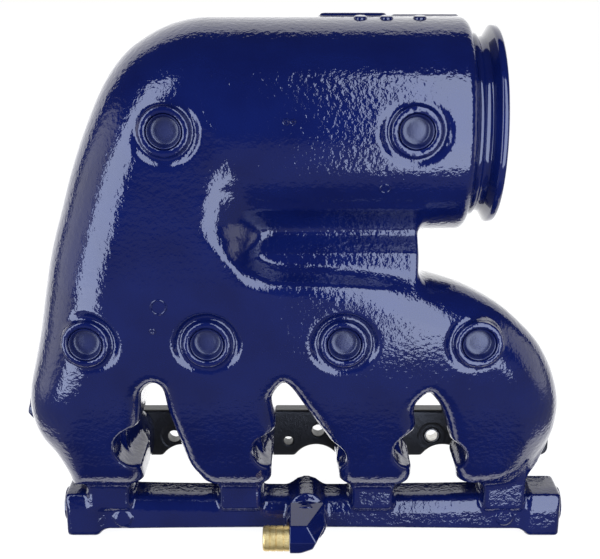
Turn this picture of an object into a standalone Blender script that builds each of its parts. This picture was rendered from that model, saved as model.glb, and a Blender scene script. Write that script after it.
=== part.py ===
"""Water-jacketed four-port exhaust manifold with a V-band outlet.

Frame: +Z up, +X towards the outlet, the cylinder head on the +Y side.  The origin is the
middle of the four ports, on the flange face that seals against the head (the plane Y = 0).
"""
import math

import bmesh
import bpy
from mathutils import Matrix, Vector

MM = 0.001                      # the tables below are in millimetres
GAP = 0.3 * MM                  # clearance left between neighbouring pieces

# ---- driving dimensions -------------------------------------------------------------------
PORT_PITCH = 111.76 * MM        # spacing of the exhaust ports
PORTS = [(i - 1.5) * PORT_PITCH for i in range(4)]
FLANGE_THICK = 15 * MM
FLANGE_TOP, FLANGE_BOTTOM = 24 * MM, -22 * MM
FLANGE_HALF_LENGTH = 226 * MM
FLANGE_FRONT = -FLANGE_THICK
RUNNER_RADIUS, RUNNER_BORE = 17 * MM, 14 * MM

PIPE_Y, PIPE_Z = -85 * MM, 299 * MM     # axis of the outlet pipe
PIPE_RADIUS = 82 * MM
PIPE_END = 122 * MM
OUTLET_BORE = 60 * MM
VBAND_RADIUS = 76 * MM
VBAND_LENGTH = 21.5 * MM                # from the end of the pipe to the sealing face

JACKET_WALL = 6 * MM
LINER_INSET = 17 * MM                   # outside of the casting to outside of the gas liner
LINER_WALL = 5 * MM

RAIL_FRONT, RAIL_BACK = -107 * MM, -71 * MM
RAIL_TOP, RAIL_BOTTOM = -15 * MM, -45 * MM
RAIL_LEFT, RAIL_RIGHT = -205.5 * MM, 216.5 * MM
RAIL_BORE = 10 * MM
BLOCK_LENGTH = 32 * MM
BLOCK_TOP, BLOCK_BOTTOM = -12 * MM, -52 * MM

PLUG_RADIUS = 12.7 * MM                 # one-inch cup plugs
BOSS_RADIUS = 17.2 * MM
MOAT_RADIUS = 22.5 * MM
UPPER_PLUGS = [(-102 * MM, 306 * MM), (77 * MM, 306 * MM)]
LOWER_PLUGS = [(x * MM, 144 * MM) for x in (-168, -76, 28, 130)]
UPPER_FACE, LOWER_FACE = -168.4 * MM, -163.6 * MM

# The gas path runs along the pipe, turns down the left side and comes back along the log
# to the last leg.  Each station: outer point (x, z), inner point (x, z), front y, back y
# and the squareness of the section (2 is an ellipse).
STATIONS = [
    ((122, 381), (122, 217), -167, -3, 2.0),
    ((30, 381), (30, 217), -167, -3, 2.0),
    ((-64, 381), (-40, 217), -167, -3, 2.0),
    ((-112, 371.5), (-56, 216), -167, -4, 2.1),
    ((-148.5, 341), (-66, 213), -167, -7, 2.3),
    ((-171.5, 293), (-71, 208), -167, -14, 2.5),
    ((-188, 245), (-73, 203), -167, -24, 2.6),
    ((-200.5, 198), (-70, 197), -167, -36, 2.7),
    ((-212, 150), (-60, 193), -166, -48, 2.7),
    ((-203, 113), (-48, 191), -166, -60, 2.6),
    ((-160, 96), (-34, 190), -165, -66, 2.4),
    ((-90, 92), (-12, 190), -165, -68, 2.3),
    ((0, 92), (24, 190), -164, -68, 2.3),
    ((72, 92), (70, 191), -163, -68, 2.3),
    ((100, 92), (103, 187), -162, -68, 2.3),
    ((118, 90), (130, 174), -160, -68, 2.3),
    ((125, 84), (156, 158), -158, -68, 2.3),
    ((127, 76), (180, 134), -155, -68, 2.3),
    ((127, 66), (197, 102), -151, -67, 2.4),
    ((127, 50), (206, 66), -144, -65, 2.5),
    ((134, 34), (205, 42), -138, -62, 2.6),
    ((144, 14), (194, 14), -128, -60, 2.6),
]
LOG_END = 18                    # the gas liner stops at this station

# Legs 1 to 3: z, then left x, right x, front y, back y of each level.
LEGS = [
    [(150, -203, -76, -160, -70), (110, -224, -122, -151, -70), (70, -227, -131, -143, -67),
     (40, -218, -135, -137, -62), (14, -197, -139, -128, -60)],
    [(150, -120, -12, -160, -70), (110, -119, -20, -151, -70), (70, -109, -27, -143, -67),
     (40, -98, -29, -137, -62), (14, -85, -27, -128, -60)],
    [(150, -18, 104, -160, -70), (110, -12, 96, -151, -70), (70, 7, 86, -143, -67),
     (40, 22, 82, -137, -62), (14, 28, 82, -128, -60)],
]
LEG_SQUARENESS = 3.0
NECK_HALF = 17 * MM
LEG_TOP = 90 * MM               # the legs are cut from the log at this height
PIPE_CUT = -56 * MM             # the pipe is cut from the bend at this x
LOG_CUT = 204 * MM              # the log is cut from the pipe below this height
BEND_CUT = 222 * MM             # the bend is cut in two at this height

RING_POINTS = 24                # round the outer skin
INNER_POINTS = 16               # round the water space and the gas liner
PLUG_SEGMENTS = 20


# ---- scene and materials ------------------------------------------------------------------
def clear_scene():
    for old in list(bpy.data.objects):
        bpy.data.objects.remove(old, do_unlink=True)


def collection(name):
    made = bpy.data.collections.new(name)
    bpy.context.scene.collection.children.link(made)
    return made


def material(name, colour, roughness, metallic):
    made = bpy.data.materials.new(name)
    made.use_nodes = True
    shader = made.node_tree.nodes["Principled BSDF"]
    shader.inputs["Base Color"].default_value = (*colour, 1)
    shader.inputs["Roughness"].default_value = roughness
    shader.inputs["Metallic"].default_value = metallic
    return made


clear_scene()
PARTS = collection("exhaust_manifold")
CUTTERS = collection("cutters")
PAINT = ("blue_paint", (0.012, 0.022, 0.13), 0.22, 0.0)
BLACK = ("black_iron", (0.012, 0.012, 0.015), 0.45, 0.2)
LINER = ("liner_iron", (0.10, 0.09, 0.08), 0.6, 0.7)
BRASS = ("brass", (0.62, 0.46, 0.16), 0.28, 1.0)
STEEL = ("insert_steel", (0.55, 0.50, 0.38), 0.35, 1.0)


# ---- shape helpers ------------------------------------------------------------------------
def to_object(name, bm, group=CUTTERS):
    bmesh.ops.recalc_face_normals(bm, faces=bm.faces)
    mesh = bpy.data.meshes.new(name)
    bm.to_mesh(mesh)
    bm.free()
    made = bpy.data.objects.new(name, mesh)
    group.objects.link(made)
    if group is CUTTERS:
        made.hide_render = True
        made.display_type = "WIRE"
    return made


def loft(name, rings):
    """A closed skin over rings that all have the same number of points."""
    bm = bmesh.new()
    rows = [[bm.verts.new(point) for point in ring] for ring in rings]
    count = len(rows[0])
    for low, high in zip(rows, rows[1:]):
        for i in range(count):
            j = (i + 1) % count
            bm.faces.new((low[i], low[j], high[j], high[i]))
    bm.faces.new(rows[0])
    bm.faces.new(rows[-1])
    bmesh.ops.triangulate(bm, faces=[face for face in bm.faces if len(face.verts) == 4])
    return to_object(name, bm)


def superellipse(half_a, half_b, power, inner):
    """Points of a rounded section, as (a, b) pairs."""
    points = []
    count = INNER_POINTS if inner else RING_POINTS
    for i in range(count):
        t = 2 * math.pi * i / count
        c, s = math.cos(t), math.sin(t)
        points.append((math.copysign(abs(c) ** (2 / power), c) * half_a,
                       math.copysign(abs(s) ** (2 / power), s) * half_b))
    return points


def station_ring(station, inset):
    outer, inner, front, back, power = station
    far = Vector((outer[0], 0, outer[1])) * MM
    near = Vector((inner[0], 0, inner[1])) * MM
    across = (far - near).normalized()
    middle = (far + near) / 2 + Vector((0, (front + back) / 2 * MM, 0))
    half_across = (far - near).length / 2 - inset
    half_deep = (back - front) / 2 * MM - inset
    return [middle + across * a + Vector((0, b, 0))
            for a, b in superellipse(half_across, half_deep, power, inset > 0)]


def raised(ring, height):
    return [point + Vector((0, 0, height)) for point in ring]


def gas_path(name, inset, last, open_outlet):
    """The C-shaped body from the outlet to the given station."""
    rings = [station_ring(station, inset) for station in STATIONS[:last + 1]]
    if open_outlet:
        rings.insert(0, [point + Vector((20 * MM, 0, 0)) for point in rings[0]])
    if last == len(STATIONS) - 1:
        rings[-1] = raised(rings[-1], inset)
    elif open_outlet:
        rings[-1] = [a.lerp(b, 0.3) for a, b in zip(rings[-1], rings[-2])]
    return loft(name, rings)


def leg_ring(level, inset):
    z, left, right, front, back = (value * MM for value in level)
    x, y = (left + right) / 2, (front + back) / 2
    half_x, half_y = (right - left) / 2 - inset, (back - front) / 2 - inset
    return [Vector((x + a, y + b, z))
            for a, b in superellipse(half_x, half_y, LEG_SQUARENESS, inset > 0)]


def leg_body(name, index, inset):
    rings = [leg_ring(level, inset) for level in LEGS[index]]
    rings[-1] = raised(rings[-1], inset)
    return loft(name, rings)


def cylinder(name, radius, start, end, segments=32, group=CUTTERS, end_radius=None):
    """A cylinder or cone between two points."""
    start, end = Vector(start), Vector(end)
    bm = bmesh.new()
    bmesh.ops.create_cone(bm, cap_ends=True, segments=segments, radius1=radius,
                          radius2=radius if end_radius is None else end_radius,
                          depth=(end - start).length)
    turn = (end - start).to_track_quat("Z", "Y").to_matrix().to_4x4()
    bmesh.ops.transform(bm, matrix=Matrix.Translation((start + end) / 2) @ turn, verts=bm.verts)
    return to_object(name, bm, group)


def box(name, low, high, bevel=0.0, segments=2, group=CUTTERS):
    low, high = Vector(low), Vector(high)
    bm = bmesh.new()
    bmesh.ops.create_cube(bm, size=1)
    bmesh.ops.scale(bm, vec=high - low, verts=bm.verts)
    bmesh.ops.translate(bm, vec=(low + high) / 2, verts=bm.verts)
    if bevel:
        bmesh.ops.bevel(bm, geom=list(bm.edges), offset=bevel, segments=segments,
                        profile=0.5, affect="EDGES")
    return to_object(name, bm, group)


def lathe(name, profile, origin, axis, segments=48, group=CUTTERS):
    """Turn a closed (radius, height) profile round an axis through origin."""
    bm = bmesh.new()
    turn = Vector(axis).to_track_quat("Z", "Y")
    rows = []
    for i in range(segments):
        t = 2 * math.pi * i / segments
        rows.append([bm.verts.new(Vector(origin) + turn @ Vector(
            (radius * math.cos(t), radius * math.sin(t), height)))
            for radius, height in profile])
    count = len(profile)
    for i, row in enumerate(rows):
        following = rows[(i + 1) % segments]
        for k in range(count):
            m = (k + 1) % count
            bm.faces.new((row[k], row[m], following[m], following[k]))
    return to_object(name, bm, group)


def combine(target, tool, operation):
    """Apply an exact boolean to target and delete the tool."""
    change = target.modifiers.new(operation.lower(), "BOOLEAN")
    change.operation = operation
    change.solver = "EXACT"
    change.object = tool
    graph = bpy.context.evaluated_depsgraph_get()
    result = bpy.data.meshes.new_from_object(target.evaluated_get(graph))
    target.modifiers.clear()
    target.data = result
    bpy.data.objects.remove(tool, do_unlink=True)
    return target


def cut(target, tool):
    return combine(target, tool, "DIFFERENCE")


def join(target, tool):
    return combine(target, tool, "UNION")


def keep(target, tool):
    return combine(target, tool, "INTERSECT")


def copy_of(source, name):
    made = bpy.data.objects.new(name, source.data.copy())
    CUTTERS.objects.link(made)
    made.hide_render = True
    made.display_type = "WIRE"
    return made


def tube(name, points, radius, resolution=3):
    """A round bar along a smooth route, as a mesh."""
    curve = bpy.data.curves.new(name, "CURVE")
    curve.dimensions = "3D"
    curve.bevel_depth = radius
    curve.bevel_resolution = resolution
    curve.use_fill_caps = True
    spline = curve.splines.new("POLY")
    spline.points.add(len(points) - 1)
    for spot, point in zip(spline.points, points):
        spot.co = (*point, 1)
    source = bpy.data.objects.new(name + "_curve", curve)
    CUTTERS.objects.link(source)
    graph = bpy.context.evaluated_depsgraph_get()
    mesh = bpy.data.meshes.new_from_object(source.evaluated_get(graph))
    bm = bmesh.new()
    bm.from_mesh(mesh)
    bmesh.ops.remove_doubles(bm, verts=bm.verts, dist=0.00001)
    made = to_object(name, bm)
    made.matrix_world = source.matrix_world
    bpy.data.objects.remove(source, do_unlink=True)
    return made


def finish(piece, name, look):
    """Name a finished piece, move it to the parts and give it its own material."""
    piece.name = name
    piece.data.name = name
    if piece.name in CUTTERS.objects:
        CUTTERS.objects.unlink(piece)
        PARTS.objects.link(piece)
    piece.hide_render = False
    piece.display_type = "TEXTURED"
    piece.data.materials.clear()
    piece.data.materials.append(material(name + "_" + look[0], *look[1:]))
    piece.data.shade_smooth()
    piece.data.set_sharp_from_angle(angle=math.radians(35))
    return piece


# ---- the casting: outer skin, water space and sections ----------------------------------
def duct_ring(y, x, z, half_x, half_z, inset):
    return [Vector((x + a, y, z + b))
            for a, b in superellipse(half_x - inset, half_z - inset, 3.2, inset > 0)]


def leg_centre(index):
    """Middle of a leg just above its foot."""
    if index < 3:
        _, left, right, _, _ = LEGS[index][3]
        return (left + right) / 2 * MM
    outer, inner = STATIONS[20][:2]
    return (outer[0] + inner[0]) / 2 * MM


def runner_duct(name, index, inset, back):
    """The jacketed branch from a leg back to the head flange."""
    port, leg = PORTS[index], leg_centre(index)
    rings = [duct_ring(-96 * MM, leg, 41 * MM, 26 * MM, 34 * MM, inset),
             duct_ring(-70 * MM, (leg + port) / 2, 31 * MM, 27 * MM, 37 * MM, inset),
             duct_ring(-44 * MM, port, 9 * MM, 27 * MM, 32 * MM, inset),
             duct_ring(-28 * MM, port, 2 * MM, 27 * MM, 26 * MM, inset),
             duct_ring(back, port, 1 * MM, 27 * MM, 25 * MM, inset)]
    return loft(name, rings)


def casting_skin(name, inset, duct_back):
    """Outer skin of the casting, or its water space when inset is the wall thickness."""
    skin = gas_path(name, inset, len(STATIONS) - 1, open_outlet=inset > 0)
    for index in range(3):
        join(skin, leg_body("leg", index, inset))
    for index in range(4):
        join(skin, runner_duct("duct", index, inset, duct_back))
    return skin


def add_necks(skin):
    for port in PORTS:
        join(skin, box("neck", (port - NECK_HALF, RAIL_FRONT, RAIL_TOP + GAP),
                       (port + NECK_HALF, RAIL_BACK, 26 * MM)))


def plug_places():
    for number, (x, z) in enumerate(UPPER_PLUGS):
        yield "upper_" + ("left", "right")[number], x, UPPER_FACE, z
    for number, (x, z) in enumerate(LOWER_PLUGS):
        yield f"lower_{number + 1}", x, LOWER_FACE, z


def ring_cutter(inner, outer, x, z, front, back):
    profile = [(inner, 0), (outer, 0), (outer, back - front), (inner, back - front)]
    return lathe("moat", profile, (x, front, z), (0, 1, 0), segments=PLUG_SEGMENTS)


outer = casting_skin("casting", 0.0, FLANGE_FRONT - GAP)
add_necks(outer)
for _, x, face, z in plug_places():
    join(outer, cylinder("boss", BOSS_RADIUS, (x, face, z), (x, face + 12 * MM, z), PLUG_SEGMENTS))
    cut(outer, ring_cutter(BOSS_RADIUS, MOAT_RADIUS, x, z, face - 12 * MM, face + 5 * MM))

# Two flat pads on the top of the pipe, and a wedge-shaped lug low on the left side.
join(outer, box("pad", (9.5 * MM, -78 * MM, 370 * MM), (60.5 * MM, -40 * MM, 383.4 * MM)))
join(outer, box("pad", (64.5 * MM, -72 * MM, 370 * MM), (117 * MM, -40 * MM, 382 * MM)))
LUG_OUTLINE = [(-200, 128), (-221, 128), (-239.5, 50), (-235, 44), (-200, 44)]
LUG_FRONT, LUG_BACK = -78, -62
join(outer, loft("lug", [[Vector((x, y, z)) * MM for x, z in LUG_OUTLINE]
                         for y in (LUG_FRONT, LUG_BACK)]))

# Scoops in the legs that let a socket reach the head bolts.
SCOOPS = [(-134, 34, 20, 0.10), (-16, 36, 20, 0.10), (18, 32, 15, -0.05),
          (98, 34, 20, 0.08), (116, 34, 15, -0.05)]
for x, z, radius, slope in SCOOPS:
    start = Vector((x - slope * 60, -170, z)) * MM
    end = Vector((x + slope * 60, -52, z)) * MM
    cut(outer, cylinder("scoop", radius * MM, start, end, 24))

water = casting_skin("water_space", JACKET_WALL, 10 * MM)
for _, x, face, z in plug_places():
    cut(water, cylinder("pad", 25 * MM, (x, face - 15 * MM, z), (x, face + 11.5 * MM, z), PLUG_SEGMENTS))
for port in PORTS:
    join(water, cylinder("neck_bore", 9 * MM, (port, -89 * MM, -30 * MM),
                         (port, -89 * MM, 30 * MM), 20))
cut(outer, water)
for _, x, face, z in plug_places():
    cut(outer, cylinder("bore", PLUG_RADIUS + GAP, (x, face - 10 * MM, z),
                        (x, face + 14 * MM, z), PLUG_SEGMENTS))


def section(name, low, high):
    """The part of the casting inside one box, as a finished piece."""
    piece = copy_of(outer, name)
    keep(piece, box("region", low, high))
    return finish(piece, name, PAINT)


FAR = 0.6
HALF_GAP = GAP / 2
section("jacket_outlet_pipe", (PIPE_CUT + HALF_GAP, -FAR, LOG_CUT + HALF_GAP), (FAR, FAR, FAR))
section("jacket_bend_upper", (-FAR, -FAR, BEND_CUT + HALF_GAP), (PIPE_CUT - HALF_GAP, FAR, FAR))
section("jacket_bend_lower", (-FAR, -FAR, LEG_TOP + HALF_GAP),
        (PIPE_CUT - HALF_GAP, FAR, BEND_CUT - HALF_GAP))
section("jacket_log", (PIPE_CUT + HALF_GAP, -FAR, LEG_TOP + HALF_GAP),
        (FAR, FAR, LOG_CUT - HALF_GAP))
LEG_BOUNDS = [-FAR, -117 * MM, -4 * MM, 105 * MM, FAR]
for index in range(4):
    section(f"jacket_leg_{index + 1}", (LEG_BOUNDS[index], -FAR, -FAR),
            (LEG_BOUNDS[index + 1], FAR, LEG_TOP - HALF_GAP))
bpy.data.objects.remove(outer, do_unlink=True)

# The web that joins the pipe to the log, trimmed to both.
web = box("web", (-78 * MM, -140 * MM, 170 * MM), (88 * MM, -116 * MM, 250 * MM))
cut(web, gas_path("trim", -GAP, len(STATIONS) - 1, open_outlet=False))
finish(web, "joining_web", PAINT)


# ---- the gas liner inside the water space -------------------------------------------------
def runner_route(index):
    """Centre line of a gas runner, from the head flange up into the log liner."""
    port, leg = PORTS[index], leg_centre(index)
    top_x, top_z = RUNNER_TOPS[index]
    mouth = Vector((port, FLANGE_FRONT - GAP, 0))
    ends = [mouth - Vector((0, 8 * MM, 0)), Vector((port, -44 * MM, 7 * MM)),
            Vector(((port + leg) / 2, -76 * MM, 31 * MM)), Vector((leg, -99 * MM, 60 * MM)),
            Vector((top_x * MM, -115 * MM, top_z * MM))]
    route = []
    padded = [2 * ends[0] - ends[1]] + ends + [2 * ends[-1] - ends[-2]]
    for k in range(len(ends) - 1):
        a, b, c, d = padded[k:k + 4]
        for step in range(ROUTE_STEPS):
            t = step / ROUTE_STEPS
            route.append(0.5 * (2 * b + (c - a) * t + (2 * a - 5 * b + 4 * c - d) * t ** 2
                                + (3 * b - a - 3 * c + d) * t ** 3))
    return [mouth] + route + [ends[-1]]


ROUTE_STEPS = 3
RUNNER_TOPS = [(-176, 124), (-62, 116), (48, 116), (154, 102)]
liner = gas_path("liner", LINER_INSET, LOG_END - 1, open_outlet=False)
bore = gas_path("bore", LINER_INSET + LINER_WALL, LOG_END - 1, open_outlet=True)
cut(liner, bore)
for index in range(4):
    cut(liner, tube("clearance", runner_route(index), RUNNER_RADIUS + GAP, 2))

for name, low, high in (
        ("outlet_liner", (PIPE_CUT + HALF_GAP, -FAR, LOG_CUT), (FAR, FAR, FAR)),
        ("bend_liner_upper", (-FAR, -FAR, BEND_CUT + HALF_GAP), (PIPE_CUT - HALF_GAP, FAR, FAR)),
        ("bend_liner_lower", (-FAR, -FAR, -FAR), (PIPE_CUT - HALF_GAP, FAR, BEND_CUT - HALF_GAP)),
        ("log_liner", (PIPE_CUT + HALF_GAP, -FAR, -FAR), (FAR, FAR, LOG_CUT))):
    piece = copy_of(liner, name)
    keep(piece, box("region", low, high))
    finish(piece, name, LINER)
bpy.data.objects.remove(liner, do_unlink=True)

for index in range(4):
    route = runner_route(index)
    runner = tube("runner", route, RUNNER_RADIUS, 2)
    lead = [route[0] + Vector((0, 10 * MM, 0))] + route + [2 * route[-1] - route[-2]]
    cut(runner, tube("runner_bore", lead, RUNNER_BORE, 2))
    finish(runner, f"gas_runner_{index + 1}", LINER)

# ---- head flange --------------------------------------------------------------------------
HOLES = [(-216, 2, 5.5), (-122.6, -2.7, 5.9), (-16.4, -6.8, 4.4), (11.2, 3.5, 5.9),
         (117, -1.7, 7.5), (216, 2, 5.5)]
PLUG_ARCHES = [-114 * MM, 9.5 * MM, 127.6 * MM]
ARCH_RADIUS, ARCH_Z = 23 * MM, -34 * MM
SPOT_FACES = [1, 4]
flange = box("flange", (-FLANGE_HALF_LENGTH, FLANGE_FRONT, FLANGE_BOTTOM),
             (FLANGE_HALF_LENGTH, 0, FLANGE_TOP), 2 * MM, 1)
for port in PORTS:
    cut(flange, cylinder("port", RUNNER_BORE, (port, -30 * MM, 0), (port, 10 * MM, 0), 24))
for x in PLUG_ARCHES:
    cut(flange, cylinder("arch", ARCH_RADIUS, (x, -30 * MM, ARCH_Z), (x, 10 * MM, ARCH_Z), 28))
for number, (x, z, radius) in enumerate(HOLES):
    cut(flange, cylinder("hole", radius * MM, (x * MM, -30 * MM, z * MM),
                         (x * MM, 10 * MM, z * MM), 20))
    if number in SPOT_FACES:
        cut(flange, cylinder("spot_face", 11.5 * MM, (x * MM, -30 * MM, z * MM),
                             (x * MM, FLANGE_FRONT + 0.6 * MM, z * MM), 28))
finish(flange, "head_flange", BLACK)

# A bush sits in the fifth hole.
bush_x, bush_z = HOLES[4][0] * MM, HOLES[4][1] * MM
finish(lathe("bush", [(5.6 * MM, 0), (7.2 * MM, 0), (7.2 * MM, 13.6 * MM), (5.6 * MM, 13.6 * MM)],
             (bush_x, FLANGE_FRONT + 1 * MM, bush_z), (0, 1, 0), 20), "flange_hole_bush", STEEL)

# ---- outlet ring --------------------------------------------------------------------------
# Radii, and distances along +X from the end of the pipe: a step, a neck, a sloping shoulder
# that the clamp bears on, and the rim.
STEP_RADIUS, NECK_RADIUS = 70 * MM, 68 * MM
ring_profile = [(OUTLET_BORE, 0), (STEP_RADIUS, 0), (STEP_RADIUS, 5 * MM),
                (NECK_RADIUS, 6 * MM), (NECK_RADIUS, 11 * MM),
                (VBAND_RADIUS - 1.4 * MM, VBAND_LENGTH - 5.6 * MM),
                (VBAND_RADIUS, VBAND_LENGTH - 4.2 * MM),
                (VBAND_RADIUS, VBAND_LENGTH - 1 * MM),
                (VBAND_RADIUS - 1 * MM, VBAND_LENGTH), (OUTLET_BORE, VBAND_LENGTH)]
ring = lathe("ring", ring_profile, (PIPE_END + GAP, PIPE_Y, PIPE_Z), (1, 0, 0), 40)
finish(ring, "outlet_vband_ring", PAINT)

# ---- water rail ---------------------------------------------------------------------------
RAIL_MID_Y = (RAIL_FRONT + RAIL_BACK) / 2
RAIL_MID_Z = (RAIL_TOP + RAIL_BOTTOM) / 2
BOSS_Z, BOSS_R, BOSS_END = -36 * MM, 17.4 * MM, -117 * MM   # drain boss
RIDGE_Z, RIDGE_R = -27 * MM, 15.4 * MM                      # ridge over the rail behind it
rail = box("rail", (RAIL_LEFT + 6 * MM, RAIL_FRONT, RAIL_BOTTOM),
           (RAIL_RIGHT - 6 * MM, RAIL_BACK, RAIL_TOP), 5 * MM, 1)
for low_x in (RAIL_LEFT, RAIL_RIGHT - BLOCK_LENGTH):
    join(rail, box("block", (low_x, RAIL_FRONT - 1 * MM, BLOCK_BOTTOM),
                   (low_x + BLOCK_LENGTH, RAIL_BACK + 1 * MM, BLOCK_TOP), 4 * MM, 1))
for port in PORTS:
    cut(rail, box("neck_seat", (port - NECK_HALF - GAP, RAIL_FRONT - 3 * MM, RAIL_TOP - 0.2 * MM),
                  (port + NECK_HALF + GAP, RAIL_BACK + 3 * MM, 30 * MM)))
join(rail, cylinder("ridge", RIDGE_R, (0, RAIL_BACK - 0.5 * MM, RIDGE_Z),
                    (0, RAIL_FRONT + 1 * MM, RIDGE_Z), 28))
join(rail, cylinder("boss", BOSS_R, (0, RAIL_MID_Y, BOSS_Z), (0, BOSS_END, BOSS_Z), 28))
cut(rail, cylinder("water", RAIL_BORE, (-FAR, RAIL_MID_Y, RAIL_MID_Z),
                   (FAR, RAIL_MID_Y, RAIL_MID_Z), 20))
cut(rail, cylinder("drain", 7 * MM, (0, RAIL_MID_Y, BOSS_Z), (0, -FAR, BOSS_Z), 20))
for port in PORTS:
    cut(rail, cylinder("riser", 9 * MM, (port, RAIL_MID_Y, RAIL_MID_Z),
                       (port, RAIL_MID_Y, 0), 20))
finish(rail, "water_rail", PAINT)

for name, x, side in (("rail_plug_left", RAIL_LEFT, -1), ("rail_plug_right", RAIL_RIGHT, 1)):
    plug = cylinder(name, 14.5 * MM, (x + side * GAP, RAIL_MID_Y, RAIL_MID_Z),
                    (x + side * 2.3 * MM, RAIL_MID_Y, RAIL_MID_Z), 28)
    join(plug, cylinder("stub", 9.6 * MM, (x - side * 12 * MM, RAIL_MID_Y, RAIL_MID_Z),
                        (x + side * 1 * MM, RAIL_MID_Y, RAIL_MID_Z), 20))
    finish(plug, name, PAINT)

# ---- core plugs: cups pressed into the bosses ---------------------------------------------
CUP_DEPTH, CUP_SHEET = 9 * MM, 1.6 * MM
for place, x, face, z in plug_places():
    lip = face + 1.0 * MM
    cup = cylinder("cup", PLUG_RADIUS, (x, lip, z), (x, lip + CUP_DEPTH, z), PLUG_SEGMENTS)
    cut(cup, cylinder("hollow", PLUG_RADIUS - CUP_SHEET, (x, lip - 5 * MM, z),
                      (x, lip + CUP_DEPTH - CUP_SHEET, z), PLUG_SEGMENTS,
                      end_radius=10.4 * MM))
    finish(cup, "core_plug_" + place, PAINT)

# ---- drain elbow and hose tail ------------------------------------------------------------
ELBOW_Y, ELBOW_Z = -134 * MM, -38.2 * MM
ELBOW_LEFT = -14.2 * MM
elbow = cylinder("elbow", 13 * MM, (ELBOW_LEFT, ELBOW_Y, ELBOW_Z), (12 * MM, ELBOW_Y, ELBOW_Z), 10)
join(elbow, cylinder("inlet", 10.6 * MM, (0, BOSS_END - GAP, BOSS_Z),
                     (0, ELBOW_Y - 3.3 * MM, BOSS_Z), 12))
cut(elbow, cylinder("way_out", 6 * MM, (-FAR, ELBOW_Y, ELBOW_Z), (3.4 * MM, ELBOW_Y, ELBOW_Z), 16))
cut(elbow, cylinder("way_in", 4.5 * MM, (0, ELBOW_Y + 1.7 * MM, BOSS_Z),
                    (0, RAIL_FRONT, BOSS_Z), 14))
finish(elbow, "drain_elbow", PAINT)

tail_profile = [(5, 0), (9.5, 0), (10.6, 1.5)]
for band in range(4):
    at = 3 + 5 * band
    tail_profile += [(10.6, at), (10.1, at + 0.7), (10.6, at + 1.4)]
tail_profile += [(10.6, 22), (5, 22)]
tail = lathe("tail", [(r * MM, h * MM) for r, h in tail_profile],
             (ELBOW_LEFT - GAP - 22 * MM, ELBOW_Y, ELBOW_Z), (1, 0, 0), 20)
finish(tail, "drain_hose_tail", BRASS)
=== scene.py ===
"""Looks of the water-jacketed exhaust manifold.

The casting is one seamless skin: signed distances to its simple shapes are blended on a
grid, and a surface net is drawn over the result.  The turned and pressed pieces in it are
meshes of their own.  Tables of shape are in millimetres, in the frame of the CAD model.
"""
import math

import bmesh
import bpy
import numpy as np
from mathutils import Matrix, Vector


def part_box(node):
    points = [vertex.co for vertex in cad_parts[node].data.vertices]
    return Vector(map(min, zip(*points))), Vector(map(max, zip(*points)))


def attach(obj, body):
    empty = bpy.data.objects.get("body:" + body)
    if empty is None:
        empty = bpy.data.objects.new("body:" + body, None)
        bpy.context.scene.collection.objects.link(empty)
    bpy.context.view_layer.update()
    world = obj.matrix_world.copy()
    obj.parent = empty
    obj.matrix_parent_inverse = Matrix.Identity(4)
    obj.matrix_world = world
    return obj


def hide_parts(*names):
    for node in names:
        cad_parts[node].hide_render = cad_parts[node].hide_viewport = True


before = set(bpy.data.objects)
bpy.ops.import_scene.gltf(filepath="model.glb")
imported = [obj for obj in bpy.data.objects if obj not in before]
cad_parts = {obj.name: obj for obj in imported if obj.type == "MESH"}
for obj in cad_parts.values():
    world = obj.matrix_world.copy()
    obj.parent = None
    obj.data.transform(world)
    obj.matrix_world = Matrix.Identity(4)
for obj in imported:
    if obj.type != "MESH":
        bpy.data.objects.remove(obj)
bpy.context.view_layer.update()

MM = 0.001
CELL = 2.0       # spacing of the casting's distance grid


# ---- driving sizes, from the CAD nodes ----------------------------------------------------
def node_box(name):
    low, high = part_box(name)
    return np.array(low) / MM, np.array(high) / MM


_, PIPE_HIGH = node_box("jacket_outlet_pipe")
RING_LOW, RING_HIGH = node_box("outlet_vband_ring")
FLANGE_LOW, FLANGE_HIGH = node_box("head_flange")
RAIL_LOW, RAIL_HIGH = node_box("water_rail")
PIPE_Y = (RING_LOW[1] + RING_HIGH[1]) / 2
PIPE_Z = (RING_LOW[2] + RING_HIGH[2]) / 2
RING_RADIUS = (RING_HIGH[2] - RING_LOW[2]) / 2
PIPE_RADIUS = 82.0
PIPE_END = PIPE_HIGH[0]
PORT_PITCH = 111.76
PORTS = [(i - 1.5) * PORT_PITCH for i in range(4)]
WALL = 16.5                             # outer skin to the gas passage
OUTLET_BORE = 65.5                      # radii of the openings
PORT_BORE = 17.3
PLUG_BORE = 13.0
MOAT_RADIUS, MOAT_DEPTH = 24.6, 4.6     # sunk ring round each core plug's boss
BOSS_RADIUS, BOSS_DEPTH = 18.4, 12


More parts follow.
